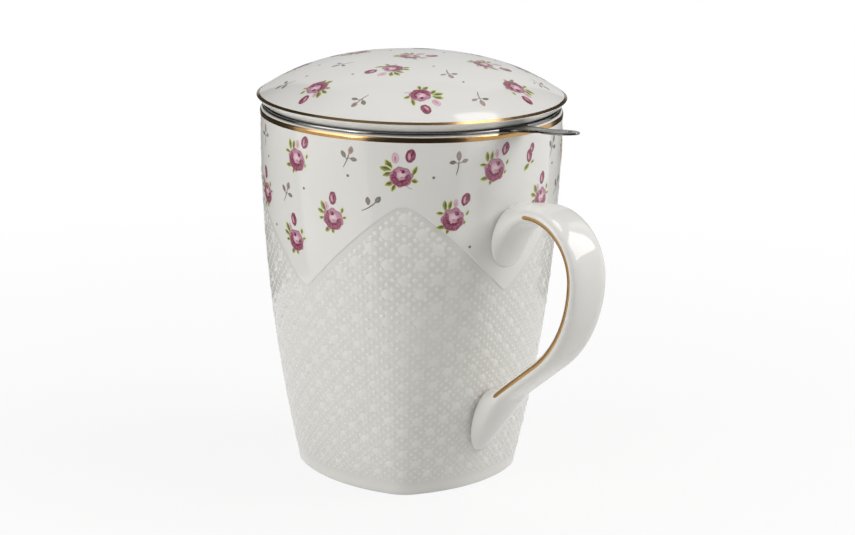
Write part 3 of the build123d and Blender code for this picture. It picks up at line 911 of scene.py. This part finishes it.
def strokePatch(path, width, colour):
    path = np.array(path, float)
    steps = np.linspace(0, len(path) - 1, prints["strokeSteps"] * (len(path) - 1) + 1)
    x, y = (np.interp(steps, range(len(path)), path[:, axis]) for axis in (0, 1))
    dx, dy = np.gradient(x), np.gradient(y)
    swell = np.sin(np.linspace(0.2, 2.9, len(x)))  # thin at both ends, full in the middle
    half = width / 2 * (prints["strokeEnd"] + (1 - prints["strokeEnd"]) * swell) / np.hypot(dx, dy)
    px = np.concatenate([x - dy * half, x + dy * half])
    py = np.concatenate([y + dx * half, y - dx * half])
    rows = rowNumbers(2, len(x))
    return px, py, [rampColour(colour, colour, 0)] * len(px), stitch(rows, closed=False, flip=True)


def flowerPatches(flower):
    for values in flower.get("leaves", ()):
        yield from (blotPatch(*blot) for blot in leafBlots(*values))
    for values in flower.get("strokes", ()):
        yield strokePatch(*values)
    for values in flower.get("buds", ()):
        yield from (blotPatch(*blot) for blot in budBlots(*values))
    for values in flower.get("blots", ()):
        yield blotPatch(*values)
    if "bloom" in flower:
        yield from (blotPatch(*blot) for blot in bloomBlots(*flower["bloom"]))


def onBody(x, y, lift, azimuth, height):
    az = math.radians(azimuth)
    return bodyPoint(az + x / float(bodyRadius(az, height)), height + y, lift)


def onLid(x, y, lift, azimuth, radius):
    # Y points out to the edge, so X runs clockwise seen from above
    az = math.radians(azimuth)
    slope = float(domeHeight(radius + 0.05) - domeHeight(abs(radius - 0.05))) / 0.1
    along = radius + y / math.hypot(1, slope)
    px = along * math.cos(az) + x * math.sin(az)
    py = along * math.sin(az) - x * math.cos(az)
    return lidPoint(np.arctan2(py, px), np.hypot(px, py), lift)


def makePrint(name, body, place, spots):
    # every patch of one surface in one mesh, with its colour in the ink attribute
    points, faces, colours = [], [], []
    for kind, anchors in spots.items():
        for first, second, *turn in anchors:
            sway = 0 if kind == "heart" else luck.uniform(-prints["sway"], prints["sway"])
            angle = math.radians(sum(turn) + sway)
            c, s = math.cos(angle), math.sin(angle)
            for layer, (x, y, inks, patch) in enumerate(flowerPatches(flowers[kind]), 1):
                lift = prints["lift"] + layer * prints["layer"]
                faces += [tuple(len(points) + i for i in face) for face in patch]
                points += place(c * x - s * y, s * x + c * y, lift, first, second).tolist()
                colours += inks
    piece = addMesh(name, points, faces, inkPrint)
    ink = piece.data.color_attributes.new(name="ink", type="FLOAT_COLOR", domain="POINT")
    ink.data.foreach_set("color", np.insert(colours, 3, 1, axis=1).astype(np.float32).ravel())
    settle(piece, body, "porcelain")


makePrint("bodyFlowers", "mug", onBody, bodyPrint)
makePrint("lidFlowers", "lid", onLid, lidPrint)


# The infuser: a polished flange with a rolled edge and a lifting tab, and a woven basket.

infuser = {
    "lip": 106.35, "sheet": 0.5, "flangeOut": 42.7, "bead": 0.45, "collarOut": 36.5, "collarIn": 36.0,
    "collarLow": 97.35, "bend": 1.0, "weldTop": 102.35, "basketLow": 40.35, "footIn": 30.47, "mesh": 0.6,
    "band": 4.0, "bottomFlange": 4.4, "ringTurn": 0.5, "ringEase": 0.1, "collarBreak": 6.0, "around": 256,
}
tab = {
    "azimuth": -2.0, "length": 24.8, "rise": 6.0, "thickness": 0.6, "root": 10.5, "neck": 4.2,
    "paddle": 6.6, "neckAt": 8.3, "paddleAt": 18.3, "hole": 0.95, "holeInset": 3.4, "bevel": 0.14,
    "sideSteps": 14, "tipSteps": 18,
}
weave = {
    "round": 176, "pitch": 1.16, "wire": 0.36, "sides": 5, "over": 0.17,
    "footGap": 0.2, "topGap": 0.1,  # kept clear of the ring and of the weld's top
    "bottomSway": 0.7, "bottomThin": 0.9,  # the bottom's wires against the wall's
    "seamWidth": 5.0, "seamIn": 0.18, "seamOut": 0.62, "seamFoot": 4.6, "seamRows": 30, "seamSteps": 6,
}


def makeInfuserRim():
    lip, sheet, bead, bend = infuser["lip"], infuser["sheet"], infuser["bead"], infuser["bend"]
    out, inner, low = infuser["collarOut"], infuser["collarIn"], infuser["collarLow"]
    beadX = infuser["flangeOut"] - bead
    centre = (out + bend, lip - bend)
    profile = [(beadX - bead, lip), (out + bend, lip)]
    profile += arcPoints(centre, bend, 90, 180, 6)[1:]
    breakAt = lip - infuser["collarBreak"]
    profile += [(out, breakAt), (out, low), (inner, low), (inner, breakAt)]
    profile += arcPoints(centre, bend + sheet, 180, 90, 8)
    profile.append((beadX - bead, lip + sheet))
    profile += arcPoints((beadX, lip + bead), bead, 150, -90, 16)
    profile.append(profile[0])
    piece = addMesh("infuserRim", *spinProfile(profile[::-1], infuser["around"]), steel)
    settle(piece, "infuser", "polished_steel", "infuser_rim")


def bezier(points, count):
    p = np.array(points, float)
    t = np.linspace(0, 1, count, endpoint=False)[:, None]
    return (1 - t) ** 3 * p[0] + 3 * t * (1 - t) ** 2 * p[1] + 3 * t * t * (1 - t) * p[2] + t**3 * p[3]


def outwardOf(outline):
    ahead = np.roll(outline, -1, 0) - np.roll(outline, 1, 0)
    normal = np.stack([ahead[:, 1], -ahead[:, 0]], 1)
    normal /= np.maximum(np.linalg.norm(normal, axis=1, keepdims=True), 1e-9)
    return normal * np.sign(((outline - outline.mean(0)) * normal).sum(1).mean())


def makeTab():
    start = infuser["flangeOut"] - 2 * infuser["bead"]
    neckX, paddleX, tipX = (2 * infuser["bead"] + tab[key] for key in ("neckAt", "paddleAt", "length"))
    neck, paddle = tab["neck"] / 2, tab["paddle"] / 2
    middle = (neckX + paddleX) / 2
    side, tip = tab["sideSteps"], tab["tipSteps"]
    upper = np.concatenate([
        bezier([(0, tab["root"] / 2), (neckX / 3, neck), (neckX / 2, neck), (neckX, neck)], side),
        bezier([(neckX, neck), (middle, neck), (middle, paddle), (paddleX, paddle)], side),
        bezier([(paddleX, paddle), ((paddleX + tipX) / 2, paddle), (tipX, paddle / 2), (tipX, 0)], tip),
    ])
    outline = np.concatenate([upper, [(tipX, 0)], (upper * (1, -1))[::-1]])
    count = len(outline)
    # the hole's ring has one point for each point of the outline, in the same direction
    holeAt = np.array([tipX - tab["holeInset"], 0])
    angles = np.unwrap(np.arctan2(*(outline - holeAt).T[::-1]))
    turn = 2 * math.pi * np.sign(angles[-1] - angles[0])
    blend = (angles + np.linspace(angles[0], angles[0] + turn, count, endpoint=False)) / 2
    hole = tab["hole"] * np.stack([np.cos(blend), np.sin(blend)], 1)
    bevel, thick = tab["bevel"], tab["thickness"]
    inner = outline - bevel * outwardOf(outline)
    wider = holeAt + hole * (1 + bevel / tab["hole"])
    levels = [(wider, 0), (inner, 0), (outline, -bevel), (outline, -thick + bevel), (inner, -thick),
              (wider, -thick), (holeAt + hole, -thick + bevel), (holeAt + hole, -bevel)]
    rows = rowNumbers(len(levels), count)
    raised = Matrix.Translation((start, 0, infuser["lip"] + infuser["sheet"] + infuser["bead"] / 2))
    place = (Matrix.Rotation(math.radians(tab["azimuth"]), 4, "Z") @ raised
             @ Matrix.Rotation(-math.radians(tab["rise"]), 4, "Y"))
    points = [tuple(place @ Vector((x, y, z))) for ring, z in levels for x, y in ring]
    piece = addMesh("infuserTab", points, stitch(rows + rows[:1]), steel, smooth=False)
    settle(piece, "infuser", "polished_steel")


def makeInfuserRing():
    inner = infuser["footIn"] + infuser["mesh"]
    outer = inner + infuser["sheet"]
    low, sheet, turn = infuser["basketLow"], infuser["sheet"], infuser["ringTurn"]
    top = low + sheet + infuser["band"]
    ease = infuser["ringEase"]
    profile = [(inner, top - ease), (inner + ease, top), (outer - ease, top), (outer, top - ease)]
    profile.append((outer, low + turn + ease))
    profile += arcPoints((outer - turn, low + turn), turn, 0, -90, 5)[1:]
    profile += [(outer - infuser["bottomFlange"], low), (outer - infuser["bottomFlange"], low + sheet),
                (inner, low + sheet), (inner, top - ease)]
    piece = addMesh("infuserBottomRing", *spinProfile(profile[::-1], infuser["around"]), steel)
    settle(piece, "infuser", "polished_steel", "infuser_bottom_ring")


def basketRadius(z):
    # middle of the woven sheet at a height
    coneFoot = infuser["basketLow"] + infuser["sheet"] + infuser["band"]
    share = np.clip((np.asarray(z, float) - coneFoot) / (infuser["collarLow"] - coneFoot), 0, 1)
    return infuser["footIn"] + (infuser["collarOut"] - infuser["footIn"]) * share + infuser["mesh"] / 2


def weaveWires(name, chains, node, closed=False, thin=1.0):
    # a round wire along each chain of points
    points, edges = [], []
    for chain in chains:
        first = len(points)
        points += [tuple(point) for point in chain]
        edges += [(i, i + 1) for i in range(first, len(points) - 1)]
        if closed:
            edges.append((len(points) - 1, first))
    mesh = bpy.data.meshes.new(name + "Paths")
    mesh.from_pydata((np.asarray(points) * mm).tolist(), edges, [])
    piece = runTree(name, addObject(name + "Paths", mesh), wireTree,
                    Thickness=weave["wire"] * thin * mm, Sides=weave["sides"], Finish=wire)
    settle(piece, "infuser", "steel_mesh", node)


def makeBasketWall():
    low = infuser["basketLow"] + infuser["sheet"] + weave["footGap"]
    high = infuser["weldTop"] - weave["topGap"]
    heights = np.linspace(low, high, int((high - low) / weave["pitch"]) + 1)
    k, i = np.meshgrid(np.arange(weave["round"]), np.arange(len(heights)), indexing="ij")
    over = np.where((k + i) % 2, 1, -1) * weave["over"]  # out and in again from crossing to crossing
    a = 2 * math.pi * k / weave["round"]

    def crossings(sway):
        radius = basketRadius(heights) + sway
        return np.stack([radius * np.cos(a), radius * np.sin(a), heights * np.ones_like(a)], -1)

    weaveWires("basketUprights", crossings(over), "infuser_wall")
    weaveWires("basketHoops", crossings(-over).swapaxes(0, 1), "infuser_wall", closed=True)


def makeBasketBottom():
    level = infuser["basketLow"] + infuser["sheet"] + infuser["mesh"] / 2
    limit, pitch = infuser["footIn"] - weave["footGap"], weave["pitch"]
    count = int(limit / pitch)
    chains = []
    for direction, k in product((0, 1), range(-count, count + 1)):
        steps = int(math.sqrt(max(limit**2 - (k * pitch) ** 2, 0)) / pitch)
        run = []
        for i in range(-steps, steps + 1):
            sway = weave["over"] * weave["bottomSway"] * (1 if (k + i + direction) % 2 else -1)
            x, y = (k, i) if direction else (i, k)
            run.append((x * pitch, y * pitch, level + sway))
        if len(run) > 1:
            chains.append(run)
    weaveWires("basketBottom", chains, "infuser_bottom", thin=weave["bottomThin"])


def makeBasketSeam():
    # the lapped strip where the rolled sheet is welded to itself
    half = weave["seamWidth"] / 2 / infuser["collarOut"]
    angles = np.linspace(math.pi - half, math.pi + half, weave["seamSteps"] + 1)
    loop = [(a, weave["seamOut"]) for a in angles] + [(a, weave["seamIn"]) for a in angles[::-1]]
    heights = np.linspace(infuser["basketLow"] + weave["seamFoot"], infuser["collarLow"], weave["seamRows"])
    points = []
    for z in heights:
        radius = basketRadius(z)
        points += [((radius + side) * math.cos(a), (radius + side) * math.sin(a), z) for a, side in loop]
    rows = rowNumbers(len(heights), len(loop))
    ends = [(row[i], row[i + 1], row[-2 - i], row[-1 - i]) for row in (rows[0][::-1], rows[-1])
            for i in range(len(angles) - 1)]
    piece = addMesh("basketSeam", points, stitch(rows) + ends, wire, smooth=False)
    settle(piece, "infuser", "steel_mesh")


makeInfuserRim()
makeTab()
makeInfuserRing()
makeBasketWall()
makeBasketBottom()
makeBasketSeam()


# Floor, world, lamps, cards and camera.

camera = {
    "distance": 700.0, "height": 243.25, "pitch": 14.76, "yaw": 0.43, "roll": -0.96,
    "azimuth": 47.0,  # turn of the view about the upright axis
    "focal": 2496.0, "frameWidth": 855.0, "sensor": 36.0, "clip": (0.05, 100),
}
studio = {
    "floor": (214, 213, 211), "floorSize": 30000, "floorDrop": 0.02, "worldLight": 0.25, "middle": 60.0,
    # how much of the floor's own shade is seen, and between which distances it fades
    "floorShow": 0.13, "showNear": 60.0, "showFar": 330.0,
    "lamps": {
        # name: turn to the right of the camera, rise, distance, size, power
        "keySoftbox": (-60, 26, 900, 700, 4.2),
        "keyBulb": (-44, 4, 900, 80, 0.6),
        "sideSoftbox": (84, 41, 900, 600, 5.8),
        "backSoftbox": (172, 40, 1100, 1500, 3.0),
    },
    "cards": {
        # name: brightness, first and last turn to the right of the camera, radius and height of each edge
        "frontCard": (0.04, -30, 36, (150, 0), (150, 290)),
        "leftCard": (0.05, -150, -86, (170, 0), (170, 330)),
        "rightCard": (0.05, 118, 150, (170, 0), (170, 330)),
        "backCard": (0.5, 150, 210, (300, 60), (300, 400)),
        "frontRoof": (0.12, -90, 90, (300, 400), (1, 400)),
        "backRoof": (0.28, 90, 270, (300, 400), (1, 400)),
        "glowCard": (4.0, 70, 130, (90, 385), (190, 385)),
    },
    "cardStep": 4.0,
}


def around(turn, distance, height):
    # a place round the object, turned to the right of the camera
    angle = math.radians(turn + camera["azimuth"] - 90)
    return Vector((distance * math.cos(angle), distance * math.sin(angle), height))


def seenDirectly(tree):
    # 1 for camera, glossy and transmission rays, 0 for light that falls on a surface
    path = addNode(tree, "ShaderNodeLightPath")
    first, second = (addNode(tree, "ShaderNodeMath", operation="MAXIMUM") for _ in range(2))
    join(tree, (path, "Is Camera Ray", first, 0), (path, "Is Glossy Ray", first, 1),
         (first, "Value", second, 0), (path, "Is Transmission Ray", second, 1))
    return second


def makeFloor():
    material, tree, shader = newMaterial("paleFloor", roughness=0.9, colour=toLinear(studio["floor"]))
    white = addNode(tree, "ShaderNodeEmission")
    mix = addNode(tree, "ShaderNodeMixShader")
    share = addNode(tree, "ShaderNodeMath", operation="MULTIPLY")
    place = addNode(tree, "ShaderNodeTexCoord")
    away = addNode(tree, "ShaderNodeVectorMath", operation="LENGTH")
    fade = addNode(tree, "ShaderNodeMapRange", **{
        "From Min": studio["showNear"] * mm, "From Max": studio["showFar"] * mm,
        "To Min": 1 - studio["floorShow"],
    })
    join(tree, (place, "Object", away, 0), (away, "Value", fade, "Value"), (fade, "Result", share, 1),
         (seenDirectly(tree), "Value", share, 0), (share, "Value", mix, "Fac"), (shader, "BSDF", mix, 1),
         (white, "Emission", mix, 2), (mix, "Shader", tree.nodes["Material Output"], "Surface"))
    size, low = studio["floorSize"], -studio["floorDrop"]
    points = [(-size, -size, low), (size, -size, low), (size, size, low), (-size, size, low)]
    addMesh("floor", points, [(0, 1, 2, 3)], material, smooth=False)


def makeWorld():
    world = bpy.data.worlds.new("studioWorld")
    world.use_nodes = True
    bpy.context.scene.world = world
    tree = world.node_tree
    soft = tree.nodes["Background"]
    soft.inputs["Color"].default_value = (1, 1, 1, 1)
    soft.inputs["Strength"].default_value = studio["worldLight"]
    white = addNode(tree, "ShaderNodeBackground", Color=(1, 1, 1, 1), Strength=1.0)
    mix = addNode(tree, "ShaderNodeMixShader")
    join(tree, (seenDirectly(tree), "Value", mix, "Fac"), (soft, "Background", mix, 1),
         (white, "Background", mix, 2), (mix, "Shader", tree.nodes["World Output"], "Surface"))


def makeLamps():
    middle = Vector((0, 0, studio["middle"])) * mm
    for name, (turn, rise, distance, size, power) in studio["lamps"].items():
        lamp = bpy.data.lights.new(name, "AREA")
        lamp.shape = "SQUARE"
        lamp.size = size * mm
        lamp.energy = power
        thing = addObject(name, lamp)
        rise = math.radians(rise)
        height = studio["middle"] + distance * math.sin(rise)
        thing.location = around(turn, distance * math.cos(rise), height) * mm
        thing.rotation_euler = (middle - thing.location).to_track_quat("-Z", "Y").to_euler()


def makeCards():
    # curved cards that only gold, steel and glaze reflect
    for name, (brightness, first, last, *edges) in studio["cards"].items():
        material, _, shader = newMaterial(name, roughness=0.9, colour=(0, 0, 0))
        shader.inputs["Emission Color"].default_value = (brightness, brightness, brightness, 1)
        shader.inputs["Emission Strength"].default_value = 1
        turns = np.linspace(first, last, int((last - first) / studio["cardStep"]) + 1)
        points = [around(turn, *edge) for edge in edges for turn in turns]
        card = addMesh(name, points, stitch(rowNumbers(2, len(turns)), closed=False), material)
        card.visible_camera = card.visible_diffuse = card.visible_shadow = False


def makeCamera():
    pitch, yaw, roll = (math.radians(camera[key]) for key in ("pitch", "yaw", "roll"))
    forward = Vector((math.sin(yaw) * math.cos(pitch), math.cos(yaw) * math.cos(pitch), -math.sin(pitch)))
    right = forward.cross(Vector((0, 0, 1))).normalized()
    down = forward.cross(right)
    right, down = (math.cos(roll) * right + math.sin(roll) * down,
                   -math.sin(roll) * right + math.cos(roll) * down)
    spin = Matrix.Rotation(math.radians(camera["azimuth"]), 3, "Z")
    axes = [spin @ v for v in (right, -down, -forward)]
    place = spin @ Vector((0, -camera["distance"], camera["height"]))
    lens = bpy.data.cameras.new("studioCamera")
    lens.sensor_width = camera["sensor"]
    lens.lens = camera["focal"] / camera["frameWidth"] * camera["sensor"]
    lens.clip_start, lens.clip_end = camera["clip"]
    thing = addObject("studioCamera", lens)
    thing.matrix_world = Matrix.Translation(place * mm) @ Matrix(axes).transposed().to_4x4()
    bpy.context.scene.camera = thing


makeFloor()
makeWorld()
makeLamps()
makeCards()
makeCamera()
bpy.context.scene.view_settings.view_transform = "Standard"
print("studio ready")

bpy.context.view_layer.update()
